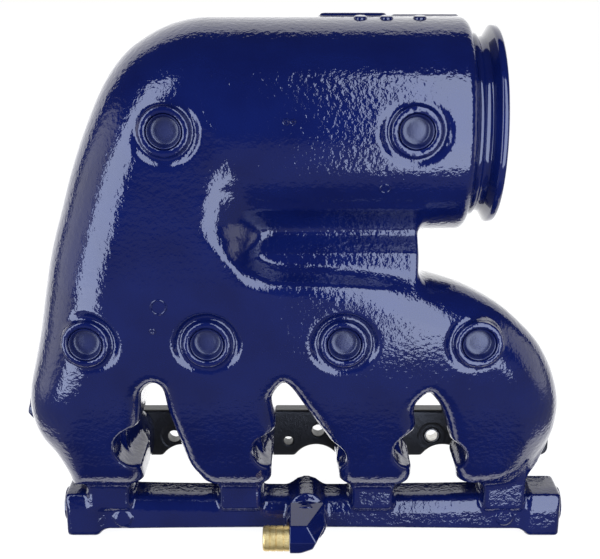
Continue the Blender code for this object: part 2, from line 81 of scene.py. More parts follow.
# ---- distance fields on a grid ------------------------------------------------------------
class Grid:
    """Samples of a signed distance, negative inside, in a box of space."""

    def __init__(self, low, high, cell):
        self.low, self.cell = np.array(low, float), cell
        self.count = [int(math.ceil((h - l) / cell)) + 1 for l, h in zip(low, high)]
        self.axes = [(l + cell * np.arange(n)).astype(np.float32)
                     for l, n in zip(self.low, self.count)]
        self.value = np.full(self.count, 60, np.float32)

    def window(self, low, high, reach=14):
        """The grid's part that a shape with these corners may change."""
        cuts = []
        for axis, (l, h) in enumerate(zip(low, high)):
            first = int((l - reach - self.low[axis]) / self.cell)
            last = int((h + reach - self.low[axis]) / self.cell) + 2
            cuts.append(slice(max(first, 0), max(min(last, self.count[axis]), 1)))
        x, y, z = (a[c] for a, c in zip(self.axes, cuts))
        return tuple(cuts), x[:, None, None], y[None, :, None], z[None, None, :]

    def add(self, low, high, shape, fillet):
        """Join a shape on, with a fillet of this radius."""
        cuts, x, y, z = self.window(low, high)
        self.value[cuts] = blend(self.value[cuts], shape(x, y, z), fillet)

    def carve(self, low, high, shape, edge=0.0):
        """Cut a shape out, with its edges rounded to this radius."""
        cuts, x, y, z = self.window(low, high)
        self.value[cuts] = -blend(-self.value[cuts], shape(x, y, z), edge)


def blend(a, b, radius):
    """Union of two distances, with a round fillet where they meet."""
    if radius <= 0:
        return np.minimum(a, b)
    corner = np.hypot(np.maximum(radius - a, 0), np.maximum(radius - b, 0))
    return (np.maximum(radius, np.minimum(a, b)) - corner).astype(np.float32)


def trim(a, b, radius):
    """Intersection of two distances, with a rounded edge."""
    return -blend(-a, -b, radius)


def smooth(value, low, high):
    """A soft step from 0 to 1."""
    t = np.clip((value - low) / (high - low), 0, 1)
    return t * t * (3 - 2 * t)


def round_box(low, high, radius):
    """A box between two corners, with rounded edges."""
    low, high = np.array(low, float), np.array(high, float)
    middle, half = (low + high) / 2, (high - low) / 2 - radius

    def shape(x, y, z):
        q = [np.abs(p - m) - h for p, m, h in zip((x, y, z), middle, half)]
        outside = np.sqrt(sum(np.maximum(a, 0) ** 2 for a in q))
        inside = np.minimum(np.maximum(np.maximum(q[0], q[1]), q[2]), 0)
        return outside + inside - radius
    return shape


def rod(start, end, radius):
    """A round-ended rod between two points."""
    start, end = np.array(start, float), np.array(end, float)
    along = end - start

    def shape(x, y, z):
        p = (x - start[0], y - start[1], z - start[2])
        t = sum(a * b for a, b in zip(p, along)) / along.dot(along)
        t = np.clip(t, 0, 1)
        gap = sum((a - t * b) ** 2 for a, b in zip(p, along))
        return np.sqrt(gap) - radius
    return shape


def disc_y(x0, z0, radius, front, back, edge=0.0):
    """A cylinder along Y between two depths."""
    def shape(x, y, z):
        side = np.hypot(x - x0, z - z0) - radius
        ends = np.maximum(front - y, y - back)
        return trim(side, ends, edge)
    return shape


def curve_through(points, closed=False, steps=6):
    """Points on a Catmull-Rom curve through the given ones."""
    points = [np.array(p, float) for p in points]
    if closed:
        padded = [points[-1]] + points + points[:2]
    else:
        padded = [2 * points[0] - points[1]] + points + [2 * points[-1] - points[-2]]
    made = []
    for a, b, c, d in zip(padded, padded[1:], padded[2:], padded[3:]):
        for step in range(steps):
            t = step / steps
            made.append(0.5 * (2 * b + (c - a) * t + (2 * a - 5 * b + 4 * c - d) * t ** 2
                               + (3 * b - a - 3 * c + d) * t ** 3))
    if not closed:
        made.append(points[-1])
    return np.array(made)


def outline_distance(outline, x, z):
    """Signed distance in the XZ plane to a closed outline, negative inside."""
    nearest = np.full(np.broadcast(x, z).shape, 1e9, np.float32)
    inside = np.zeros(nearest.shape, bool)
    for (ax, az), (bx, bz) in zip(outline, np.roll(outline, -1, axis=0)):
        ex, ez = bx - ax, bz - az
        length = ex * ex + ez * ez
        if length < 1e-9:
            continue
        px, pz = x - ax, z - az
        t = np.clip((px * ex + pz * ez) / length, 0, 1)
        nearest = np.minimum(nearest, (px - t * ex) ** 2 + (pz - t * ez) ** 2)
        if az != bz:
            crosses = ((az > z) != (bz > z)) & (x < ex * (z - az) / ez + ax)
            inside ^= crosses
    return np.sqrt(nearest) * np.where(inside, -1, 1)


def opening(outline, inset):
    """A hole along Y with this outline, seen from the front, drawn in by an inset."""
    def shape(x, y, z):
        side = outline_distance(outline, x[:, 0, :], z[0, 0, :][None, :])[:, None, :]
        return side + inset + 0 * y
    return shape


def prism(outline, front, back, edge):
    """A plate with this outline, seen from the front, between two depths."""
    def shape(x, y, z):
        side = outline_distance(outline, x[:, 0, :], z[0, 0, :][None, :])[:, None, :]
        return trim(side, np.maximum(front - y, y - back), edge)
    return shape


# ---- the casting's main body --------------------------------------------------------------
# Outline of the body seen along Y, from the top of the pipe anticlockwise to the last leg.
OUTER = curve_through([(-60, 381), (-84, 380.5), (-105, 375.5), (-123, 366.5), (-139, 354),
                       (-154, 333), (-168, 302), (-180, 270), (-189, 241), (-201, 200),
                       (-215, 132), (-225, 88), (-226, 64), (-221, 45), (-211, 29),
                       (-204, 14), (-199, -2)])
# The open throat between pipe and log, then the falling end of the log.
THROAT = curve_through([(60, 217), (0, 217), (-17, 216), (-23, 214), (-16, 212), (10, 210.5),
                        (37, 206.5), (62, 201), (88, 191), (120, 181), (149, 165), (168.5, 148),
                        (183.5, 131), (194, 113), (201, 96), (206, 78), (207.5, 60),
                        (205, 42), (196, 19), (191, -2)])
FAR = 700.0
# Depth of the front and of the back at each height: z, y.
FRONT_DEPTHS = [(-60, -112), (-8, -117), (6, -123), (20, -130), (40, -137), (60, -144),
                (85, -152), (110, -158), (144, -163.5), (180, -166), (215, -167), (400, -167)]
BACK_DEPTHS = [(-60, -60), (14, -60), (66, -66), (92, -68), (110, -62), (150, -50),
               (200, -36), (257, -20), (299, -5), (340, -3), (400, -3)]


def profile(table, at):
    """A smooth curve through (position, value) pairs."""
    fine = curve_through(table, steps=8)
    return np.interp(at, fine[:, 0], fine[:, 1])


def body_field(grid):
    """The pipe, the bend and the log with its legs, as one pillowed body."""
    x = grid.axes[0][:, None].astype(float)
    z = grid.axes[2][None, :].astype(float)
    closing = [(191, -FAR), (FAR, -FAR), (FAR, 217)]
    outer = np.vstack([[(FAR, 381)], OUTER, [(-196, -4), (FAR, -4)]])
    inside = -outline_distance(outer, x, z)
    clear = outline_distance(np.vstack([THROAT, closing]), x, z)

    # Width of the rounding at the outer edge (the pipe's own radius along its top) and at
    # the throat, and the depth over which the front falls away in them.
    corner = np.degrees(np.arctan2(z - PIPE_Z, -(x + 60)))
    over = np.where(x > -60, 1.0, smooth(corner, -15, 72)) * (z > PIPE_Z - 40)
    edge_out = np.interp(z, [4, 60, 110, 170, 300], [14, 44, 54, 58, 58])
    edge_out = edge_out + (PIPE_RADIUS - edge_out) * over
    edge_in = 32 + 34 * smooth(z, 202, 238) + 6 * smooth(x, 90, 120)
    u_bend = np.hypot(np.maximum(0, 1 - inside / edge_out), np.maximum(0, 1 - clear / edge_in))
    u_pipe = np.abs(z - PIPE_Z) / PIPE_RADIUS + 0 * x
    # where the flat front gives way to the round pipe
    start = np.interp(z, [222, 240, 262, 276, 288, 297], [-76, -86, -94, -92, -80, -66])
    end = np.interp(z, [222, 240, 262, 280, 297], [-12, -24, -42, -50, -48])
    across = smooth(x, start, end)
    below_axis = np.where(z < PIPE_Z, 1.0, smooth(x, -62, -60))
    u = u_bend + (u_pipe - u_bend) * across * smooth(z, 184, 217) * below_axis
    fall = 58 - 24 * smooth(x, -100, -20) * smooth(z, 238, 202)
    fall = fall + (PIPE_RADIUS - fall) * np.maximum(over, across * smooth(z, 200, 217))

    front = profile(FRONT_DEPTHS, z) + 0.0006 * np.maximum(x - 70, 0) ** 2
    left_back = profile(BACK_DEPTHS, z)
    right_back = np.where(z < 190, -68, np.where(z > 217, -3, -68 + 65 * (z - 190) / 27))
    along = smooth(x, -70, 10)
    back = left_back * (1 - along) + right_back * along
    widest = front + np.minimum(fall, (back - front) * 0.52)

    gx, gz = np.gradient(u, grid.cell)
    slope_u = np.hypot(gx, gz)[:, None, :]
    u, front, back, widest = (a[:, None, :].astype(np.float32)
                              for a in (u, front, back, widest))
    y = grid.axes[1][None, :, None]
    depth = np.where(y < widest, widest - front, back - widest)
    v = np.abs(y - widest) / depth
    total = np.hypot(u, v)
    slope = np.hypot(u * slope_u, v / depth) / np.maximum(total, 1e-3)
    return ((total - 1) / np.maximum(slope, 0.006)).astype(np.float32)


# Gaps between the legs, seen along Y.
GAPS = [
    [(-139, -70), (-139, 8), (-140, 30), (-138, 60), (-135, 84), (-132, 100), (-121, 109.5),
     (-111, 103), (-107, 80), (-100, 50), (-94, 26), (-84, 1), (-80, -70)],
    [(-32, -70), (-32, 10), (-30, 45), (-28, 67), (-30, 84), (-30, 96), (-20, 109.5),
     (-11, 105), (1.5, 85), (12, 67), (22, 50), (28, 24), (30, 1), (30, -70)],
    [(84, -70), (84, 12), (82, 45), (84, 66), (82, 80), (85, 91), (95, 100.5), (103, 94),
     (111, 80), (118, 56), (123, 30), (129, 2), (131, -70)],
]
# Scallops that let a socket reach the head bolts: x, z, radius.
SCALLOPS = [(-135, 45, 21), (-25, 42, 19), (17, 34, 15), (89, 42, 19), (114, 34, 16)]
LEG_CENTRES = [-177, -63.5, 52, 169.5]
RUNNER_TOPS = [(-176, 124), (-62, 116), (48, 116), (154, 102)]


def duct(index):
    """The branch from a leg back to the head flange, its section changing along Y."""
    port, leg = PORTS[index], LEG_CENTRES[index]
    rows = np.array([(-100, leg, 43, 25, 33), (-70, (leg + port) / 2, 31, 27, 37),
                     (-44, port, 9, 27, 32), (-28, port, 2, 27, 26), (-14, port, 1, 27, 25)])

    def shape(x, y, z):
        cx, cz, hx, hz = (np.interp(y, rows[:, 0], rows[:, k]) for k in range(1, 5))
        u, w = np.abs(x - cx) / hx, np.abs(z - cz) / hz
        total = (u ** 3.4 + w ** 3.4) ** (1 / 3.4)
        return np.maximum((total - 1) * 26, np.maximum(-104 - y, y - FLANGE_LOW[1] + 0.3))
    return shape


def runner_tube(index, radius):
    """The gas passage from a port through its leg up into the log."""
    port, leg = PORTS[index], LEG_CENTRES[index]
    top_x, top_z = RUNNER_TOPS[index]
    route = [(port, 0, 0), (port, -25, 0), (port, -44, 7), ((port + leg) / 2, -76, 31),
             (leg, -99, 60), (top_x, -115, top_z)]
    rods = [rod(a, b, radius) for a, b in zip(route, route[1:])]

    def shape(x, y, z):
        made = rods[0](x, y, z)
        for one in rods[1:]:
            made = np.minimum(made, one(x, y, z))
        return made
    return shape


WEB_END = 84.0
# The rail's drain boss stands under a short ridge; two flat discs are cast on its front.
BOSS_Z = -36.0
RAIL_DISCS = [(-157, -35), (169, -33.5)]
RAIL_BLOCK_LOW = -52.0

UPPER_PLUGS = ["core_plug_upper_left", "core_plug_upper_right"]
LOWER_PLUGS = [f"core_plug_lower_{i}" for i in (1, 2, 3, 4)]


def plug_place(name):
    """Middle of a core plug in X and Z, and the depth of its boss face."""
    low, high = node_box(name)
    return (low[0] + high[0]) / 2, (low[2] + high[2]) / 2, low[1] - 1.0


def water_rail(x, y, z):
    """The round-fronted bar, slimmer halfway along, with its square end blocks."""
    slim = 1 - np.clip(x / 150, -1, 1) ** 2
    top_front = trim(RAIL_LOW[1] + 10 - y + 0 * z, z + 16 + 2.2 * slim + 0 * y, 13)
    section = trim(top_front, -46 + 1.4 * slim - z + 0 * y, 2.5)
    section = trim(section, y + 72.5 + 0 * z, 5)
    bar = np.maximum(section, np.maximum(RAIL_LOW[0] + 6 - x, x - RAIL_HIGH[0] + 6))
    for low_x, high_x in ((RAIL_LOW[0], RAIL_LOW[0] + 28), (RAIL_HIGH[0] - 28, RAIL_HIGH[0])):
        block = round_box((low_x, -108, RAIL_BLOCK_LOW), (high_x, -71, -12.5), 3.5)
        bar = blend(bar, block(x, y, z), 8)
    return bar


def casting_distance():
    """All of the casting's shapes, joined, then cut by its openings."""
    grid = Grid((-246, -176, -60), (222, 2, 390), CELL)
    body = body_field(grid)
    gas = body + WALL
    grid.value = body
    for gap in GAPS:
        outline = curve_through(gap, closed=True, steps=4)
        grid.carve((gap[0][0] - 12, -180, -60), (gap[-1][0] + 12, 0, 120),
                   opening(outline, 3), 14)
    for x, z, radius in SCALLOPS:
        grid.carve((x - radius, -180, z - radius), (x + radius, -50, z + radius),
                   rod((x, -190, z), (x, -58, z), radius), 3)
    for index in range(4):
        port, leg = PORTS[index], LEG_CENTRES[index]
        grid.add((min(port, leg) - 28, -104, -26), (max(port, leg) + 28, -14, 80),
                 duct(index), 8)
    # the pipe ends in a rounded edge
    grid.carve((PIPE_END - 10, -180, 230), (222, 0, 390),
               lambda x, y, z: PIPE_END - x + 0 * y + 0 * z, 7)
    # web between pipe and log
    grid.add((-62, -155, 176), (WEB_END, -104, 246), web, 8)
    for port in PORTS:
        grid.add((port - 17, -112, -30), (port + 17, -70, 26),
                 round_box((port - 17.5, -110.5, -26), (port + 17.5, -71, 24), 4), 7)
    grid.add((RAIL_LOW[0], -108, -54), (RAIL_HIGH[0], -70, -10), water_rail, 4)
    grid.add((-16, -108, -43), (16, -70, -11), disc_y(0, -27, 15.4, -107, -72, 1.5), 4)
    grid.add((-18, -118, -54), (18, -90, -18), disc_y(-0.5, BOSS_Z, 17.4, -117, -90, 1.5), 3)
    for x0, z0 in RAIL_DISCS:
        grid.add((x0 - 8, -109, z0 - 8), (x0 + 8, -100, z0 + 8),
                 disc_y(x0, z0, 7.3, -108.6, -100, 0.6), 1)
    for name in UPPER_PLUGS + LOWER_PLUGS:
        x0, z0, face = plug_place(name)
        grid.carve((x0 - 26, face - 20, z0 - 26), (x0 + 26, face + 6, z0 + 26),
                   disc_y(x0, z0, MOAT_RADIUS, face - 30, face + MOAT_DEPTH, 4), 3.2)
        grid.add((x0 - 18, face - 1, z0 - 18), (x0 + 18, face + BOSS_DEPTH, z0 + 18),
                 disc_y(x0, z0, BOSS_RADIUS, face, face + BOSS_DEPTH, 1.0), 3)
    # two flat pads on top of the pipe, and the lug on the left flank
    pads = [((9.5, -78, 368), (60.5, -40, 383.4)), ((64.5, -72, 368), (117, -40, 382))]
    for low, high in pads:
        grid.add(low, high, round_box(low, high, 1), 1)
    lug = np.array([(-200, 128), (-221, 128), (-239.5, 50), (-235, 44), (-200, 44)], float)
    grid.add((-241, -79, 43), (-200, -61, 129), prism(lug, -78, -62, 1), 2)
    # openings: gas passage, ports and plug bores
    grid.value = np.maximum(grid.value, -np.maximum(gas, 0 * gas + (80 - z)))
    grid.carve((60, -160, 220), (130, -10, 380),
               lambda x, y, z: np.maximum(np.hypot(y - PIPE_Y, z - PIPE_Z) - OUTLET_BORE, 40 - x))
    for index in range(4):
        grid.carve((-230, -130, -20), (220, 0, 130), runner_tube(index, PORT_BORE))
    for name in UPPER_PLUGS + LOWER_PLUGS:
        x0, z0, face = plug_place(name)
        grid.carve((x0 - 14, face - 2, z0 - 14), (x0 + 14, face + 12, z0 + 14),
                   disc_y(x0, z0, PLUG_BORE, face - 10, face + 11), 0.6)
    return grid


def web(x, y, z):
    """The plate between pipe and log, hollow above and swelling forward to the log."""
    rows = [(166, -151), (186, -149.5), (196, -148.5), (207, -147.5), (211, -146), (222, -135),
            (225, -133.8), (229, -133.8), (237, -136), (241, -139), (245, -145)]
    front = profile(rows, z)
    ends = np.maximum(-60 - x, x - WEB_END)
    depth = np.maximum(front - y, y + 108) * 0.85
    made = trim(ends + 0 * y + 0 * z, depth, 3)
    return np.maximum(made, np.maximum(176 - z, z - 245))


# ---- from distances to a mesh -------------------------------------------------------------
def sample(grid, points):
    """Trilinear reading of the grid's values at points in millimetres."""
    at = (points - grid.low) / grid.cell
    base = np.clip(np.floor(at).astype(int), 0, np.array(grid.count) - 2)
    part = (at - base).astype(np.float32)
    value = np.zeros(len(points), np.float32)
    for corner in range(8):
        step = np.array([corner & 1, corner >> 1 & 1, corner >> 2 & 1])
        share = np.prod(np.where(step, part, 1 - part), axis=1)
        i, j, k = (base + step).T
        value += share * grid.value[i, j, k]
    return value


def gradient(grid, points):
    """Slope of the grid's values at points in millimetres."""
    made = np.empty_like(points)
    for axis in range(3):
        step = np.zeros(3)
        step[axis] = grid.cell * 0.6
        made[:, axis] = sample(grid, points + step) - sample(grid, points - step)
    return made / (1.2 * grid.cell)


def surface_net(grid):
    """Points and quads of the zero surface, one point in each cell that it crosses."""
    inside = grid.value < 0
    total = np.zeros([n - 1 for n in grid.count], np.uint8)
    corners = [(a, b, c) for a in (0, 1) for b in (0, 1) for c in (0, 1)]
    for a, b, c in corners:
        total += inside[a:a + total.shape[0], b:b + total.shape[1], c:c + total.shape[2]]
    cells = np.argwhere((total > 0) & (total < 8))
    number = np.full(total.shape, -1, np.int32)
    number[tuple(cells.T)] = np.arange(len(cells))
    value = {c: grid.value[tuple((cells + c).T)] for c in corners}
    centre = np.zeros((len(cells), 3))
    hits = np.zeros(len(cells))
    for c in corners:
        for axis in range(3):
            if c[axis]:
                continue
            d = tuple(1 if k == axis else c[k] for k in range(3))
            va, vb = value[c], value[d]
            crossed = (va < 0) != (vb < 0)
            t = np.where(crossed, va / np.where(crossed, va - vb, 1), 0)
            spot = np.array(c, float)[None, :].repeat(len(cells), 0)
            spot[:, axis] = t
            centre += spot * crossed[:, None]
            hits += crossed
    points = grid.low + grid.cell * (cells + centre / hits[:, None])
    quads = []
    for axis in range(3):
        b, c = (axis + 1) % 3, (axis + 2) % 3
        low = [slice(0, n - 1) if k == axis else slice(1, n - 1)
               for k, n in enumerate(grid.count)]
        high = [slice(1, n) if k == axis else slice(1, n - 1) for k, n in enumerate(grid.count)]
        first, second = inside[tuple(low)], inside[tuple(high)]
        for going_in in (True, False):
            where = np.argwhere(first & ~second if going_in else ~first & second)
            where[:, b] += 1
            where[:, c] += 1
            ring = []
            for db, dc in ((1, 1), (0, 1), (0, 0), (1, 0)):
                cell = where.copy()
                cell[:, b] -= db
                cell[:, c] -= dc
                ring.append(number[tuple(cell.T)])
            if not going_in:
                ring.reverse()
            quads.append(np.stack(ring, axis=1))
    return points, np.vstack(quads)


def skin_mesh(name, grid):
    """The grid's zero surface as a mesh whose shading normals are the field's slope."""
    points, quads = surface_net(grid)
    for _ in range(2):
        normal = gradient(grid, points)
        length = np.maximum((normal ** 2).sum(axis=1), 0.05)
        move = (sample(grid, points) / length)[:, None] * normal
        points -= np.clip(move, -grid.cell / 2, grid.cell / 2)
    normal = gradient(grid, points)
    normal /= np.maximum(np.linalg.norm(normal, axis=1), 1e-6)[:, None]
    mesh = bpy.data.meshes.new(name)
    mesh.vertices.add(len(points))
    mesh.vertices.foreach_set("co", (points * MM).astype(np.float32).ravel())
    mesh.loops.add(quads.size)
    mesh.loops.foreach_set("vertex_index", quads.ravel().astype(np.int32))
    mesh.polygons.add(len(quads))
    mesh.polygons.foreach_set("loop_start", np.arange(0, quads.size, 4, dtype=np.int32))
    mesh.update(calc_edges=True)
    mesh.validate()
    mesh.shade_smooth()
    mesh.normals_split_custom_set_from_vertices(normal.astype(np.float32).tolist())
    return mesh


# ---- materials ----------------------------------------------------------------------------
def new_material(name, colour, roughness, metallic=0.0):
    """A Principled material and its shader node."""
    made = bpy.data.materials.new(name)
    made.use_nodes = True
    shader = made.node_tree.nodes["Principled BSDF"]
    shader.inputs["Base Color"].default_value = (*colour, 1)
    shader.inputs["Roughness"].default_value = roughness
    shader.inputs["Metallic"].default_value = metallic
    return made, shader


def noise(tree, scale, detail, roughness=0.5):
    """Noise fixed to the object, its scale in cycles per metre."""
    place = tree.nodes.new("ShaderNodeTexCoord")
    made = tree.nodes.new("ShaderNodeTexNoise")
    made.inputs["Scale"].default_value = scale
    made.inputs["Detail"].default_value = detail
    made.inputs["Roughness"].default_value = roughness
    tree.links.new(place.outputs["Object"], made.inputs["Vector"])
    return made


def bump(tree, height, distance, below=None):
    """A normal bent by a height, on top of another bump's normal if there is one."""
    made = tree.nodes.new("ShaderNodeBump")
    made.inputs["Distance"].default_value = distance
    tree.links.new(height, made.inputs["Height"])
    if below is not None:
        tree.links.new(below, made.inputs["Normal"])
    return made.outputs["Normal"]


def colour_ramp(tree, factor, stops):
    """A colour between two stops, each a position and a colour."""
    ramp = tree.nodes.new("ShaderNodeValToRGB")
    tree.links.new(factor, ramp.inputs["Fac"])
    for element, (place, colour) in zip(ramp.color_ramp.elements, stops):
        element.position = place
        element.color = (*colour, 1)
    return ramp.outputs["Color"]


def blue_paint(name, grain=1.0, roughness=0.07):
    """Thick glossy paint: a faint cloud of colour over the casting's pebbled grain."""
    made, shader = new_material(name, (0.0024, 0.005, 0.037), roughness)
    tree = made.node_tree
    cloud = noise(tree, 30, 2)
    colour = colour_ramp(tree, cloud.outputs["Fac"],
                         [(0.3, (0.0021, 0.0043, 0.033)), (0.7, (0.0026, 0.0058, 0.042))])
    tree.links.new(colour, shader.inputs["Base Color"])
    coarse = noise(tree, 240, 2, 0.55)
    fine = noise(tree, 900, 1)
    normal = bump(tree, coarse.outputs["Fac"], 0.00037 * grain)
    normal = bump(tree, fine.outputs["Fac"], 0.00002 * grain, below=normal)
    tree.links.new(normal, shader.inputs["Normal"])
    shader.inputs["IOR"].default_value = 1.5
    return made


def speckled(name, dark, light, roughness, metallic, scale, height):
    """Two shades in a fine cloud that also roughens the surface."""
    made, shader = new_material(name, dark, roughness, metallic)
    tree = made.node_tree
    cloud = noise(tree, scale, 4, 0.6)
    colour = colour_ramp(tree, cloud.outputs["Fac"], [(0.35, dark), (0.65, light)])
    tree.links.new(colour, shader.inputs["Base Color"])
    tree.links.new(bump(tree, cloud.outputs["Fac"], height), shader.inputs["Normal"])
    return made


PAINT = blue_paint("blue_paint")
SMOOTH_PAINT = blue_paint("blue_paint_turned", 0.12)
CUP_PAINT = blue_paint("blue_paint_cups", 0.4, 0.36)
BLACK = speckled("black_flange", (0.004, 0.004, 0.006), (0.009, 0.009, 0.012), 0.42, 0.0, 260,
                 0.0003)
LINER = speckled("liner_metal", (0.05, 0.035, 0.025), (0.12, 0.09, 0.07), 0.55, 0.8, 140, 0.0003)
BRASS = speckled("brass", (0.5, 0.36, 0.13), (0.64, 0.48, 0.2), 0.4, 0.9, 300, 0.00004)
STEEL = speckled("zinc_steel", (0.35, 0.34, 0.32), (0.5, 0.49, 0.46), 0.35, 1.0, 300, 0.00005)


# ---- pieces -------------------------------------------------------------------------------
def link(name, mesh, material, replaces=()):
    """Put a mesh in the scene as a piece of the part's one body."""
    piece = bpy.data.objects.new(name, mesh)
    bpy.context.scene.collection.objects.link(piece)
    mesh.materials.append(material)
    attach(piece, "root")
    if replaces:
        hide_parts(*replaces)
    return piece


def lathe(name, profile_points, origin, axis, segments=96, sharp=35):
    """Turn a closed (radius, height) profile round an axis, in millimetres."""
    bm = bmesh.new()
    turn = Vector(axis).to_track_quat("Z", "Y")
    origin = Vector(origin)
    rows = []
    for i in range(segments):
        t = 2 * math.pi * i / segments
        rows.append([bm.verts.new((origin + turn @ Vector(
            (r * math.cos(t), r * math.sin(t), h))) * MM) for r, h in profile_points])
    count = len(profile_points)
    for i, row in enumerate(rows):
        after = rows[(i + 1) % segments]
        for k in range(count):
            m = (k + 1) % count
            bm.faces.new((row[k], row[m], after[m], after[k]))
    bmesh.ops.remove_doubles(bm, verts=bm.verts, dist=1e-7)
    bmesh.ops.recalc_face_normals(bm, faces=bm.faces)
    mesh = bpy.data.meshes.new(name)
    bm.to_mesh(mesh)
    bm.free()
    mesh.shade_smooth()
    mesh.set_sharp_from_angle(angle=math.radians(sharp))
    return mesh


casting = link("manifold_casting", skin_mesh("manifold_casting", casting_distance()), PAINT,
               ["jacket_outlet_pipe", "jacket_bend_upper", "jacket_bend_lower", "jacket_log",
                "jacket_leg_1", "jacket_leg_2", "jacket_leg_3", "jacket_leg_4",
                "joining_web", "water_rail"])


# ---- turned and pressed pieces ------------------------------------------------------------
def cup_plug(name):
    """A pressed cup: a rolled lip, a short wall and a slightly domed floor."""
    low, high = node_box(name)
    x0, z0, lip = (low[0] + high[0]) / 2, (low[2] + high[2]) / 2, low[1]
    depth = high[1] - low[1]
    rim = (high[0] - low[0]) / 2
    section = [(0, depth - 2.2), (6, depth - 2.0), (9.2, depth - 1.6), (10.4, depth - 2.6),
               (10.9, depth - 4.0), (11.3, 1.0), (11.7, 0.2), (12.2, 0), (rim, 0.6),
               (rim, depth - 2), (rim - 1, depth - 0.6), (9, depth), (0, depth)]
    mesh = lathe(name + "_cup", section, (x0, lip, z0), (0, 1, 0), 72, 60)
    link(name + "_cup", mesh, CUP_PAINT, [name])


for plug in UPPER_PLUGS + LOWER_PLUGS:
    cup_plug(plug)

ring_length = RING_HIGH[0] - RING_LOW[0]
ring_section = [(60, 1.5), (61, 0), (70, 0), (70.6, 0.6), (70.6, 4.4), (70, 5), (68.4, 5.4),
                (67.6, 6.6), (67.6, ring_length - 11), (68.6, ring_length - 9.5),
                (74.2, ring_length - 6), (75.5, ring_length - 5.2),
                (RING_RADIUS, ring_length - 4.2), (RING_RADIUS, ring_length - 1.2),
                (75.3, ring_length - 0.2), (74, ring_length), (63, ring_length),
                (61, ring_length - 0.6), (60, ring_length - 2.2)]
link("vband_ring", lathe("vband_ring", ring_section, (RING_LOW[0], PIPE_Y, PIPE_Z), (1, 0, 0),
                         160, 50), SMOOTH_PAINT, ["outlet_vband_ring"])
liner_section = [(62, 0), (64.7, 0), (64.7, 90), (62, 90)]
link("outlet_tube", lathe("outlet_tube", liner_section, (PIPE_END - 90, PIPE_Y, PIPE_Z),
                          (1, 0, 0), 128), LINER, [])
for side, toward in (("left", 1), ("right", -1)):
    low, high = node_box("rail_plug_" + side)
    face = low[0] if side == "left" else high[0]
    width = (high[2] - low[2]) / 2
    section = [(0, 1.6), (5.6, 1.6), (6, 1.2), (6, 0.2), (width - 1.6, 0), (width - 0.5, 0.4),
               (width, 1.5), (width, 13), (0, 13)]
    link(f"rail_plug_{side}_turned",
         lathe(f"rail_plug_{side}_turned", section,
               (face, (low[1] + high[1]) / 2, (low[2] + high[2]) / 2), (toward, 0, 0), 64),
         SMOOTH_PAINT, ["rail_plug_" + side])

for number, (x0, y0) in enumerate(((39.7, -96), (59.3, -96), (84.2, -96))):
    height = PIPE_Z + math.sqrt(PIPE_RADIUS ** 2 - (y0 - PIPE_Y) ** 2)
    lean = (0, (y0 - PIPE_Y) / PIPE_RADIUS, (height - PIPE_Z) / PIPE_RADIUS)
    pip = [(0, 1.7), (3.9, 1.7), (4.6, 1.4), (5.2, 0.4), (5.4, -1.5), (0, -1.5)]
    link(f"cast_pip_{number + 1}", lathe(f"cast_pip_{number + 1}", pip, (x0, y0, height), lean,
                                         36, 60), PAINT)

# Small cast marks on the front: x, z, ring radius and half thickness.
MARKS = [(-111.0, 175.0, 5.6, 0.7), (-116.4, 155.7, 1.6, 0.8),
         (56.1, 263.5, 3.6, 0.6), (-15.5, 312.8, 1.7, 0.8),
         (-10.5, 312.8, 1.3, 0.7)]
for number, (x0, z0, radius, thick) in enumerate(MARKS):
    start = Vector((x0, -300, z0)) * MM
    _, at, normal, _ = casting.ray_cast(start, Vector((0, 1, 0)))
    turn = [2 * math.pi * i / 10 for i in range(10)]
    ring = [(radius + thick * math.cos(t), thick * math.sin(t)) for t in turn]
    link(f"cast_mark_{number + 1}", lathe(f"cast_mark_{number + 1}", ring, at / MM, normal, 40),
         PAINT)

tail_low, tail_high = node_box("drain_hose_tail")
tail_y, tail_z = (tail_low[1] + tail_high[1]) / 2, (tail_low[2] + tail_high[2]) / 2
tail_length = tail_high[0] - tail_low[0]
tail_radius = (tail_high[2] - tail_low[2]) / 2
tail_section = [(5, 0.8), (5.8, 0), (tail_radius - 1.6, 0), (tail_radius - 0.7, 0.5),
                (tail_radius - 0.1, 1.6)]
for start in (5.4, 10.6, 16.8):
    tail_section += [(tail_radius, start), (tail_radius - 0.5, start + 0.3),
                     (tail_radius - 0.5, start + 0.8), (tail_radius - 0.1, start + 1.1)]
tail_section += [(tail_radius, tail_length), (5, tail_length)]
link("hose_tail_turned", lathe("hose_tail_turned", tail_section, (tail_low[0], tail_y, tail_z),
                               (1, 0, 0), 96, 25), BRASS, ["drain_hose_tail"])


def half_space(point, direction):
    """Distance to a plane, negative behind it."""
    direction = np.array(direction, float)
    direction /= np.linalg.norm(direction)

    def shape(x, y, z):
        return sum((p - q) * d for p, q, d in zip((x, y, z), point, direction))
    return shape


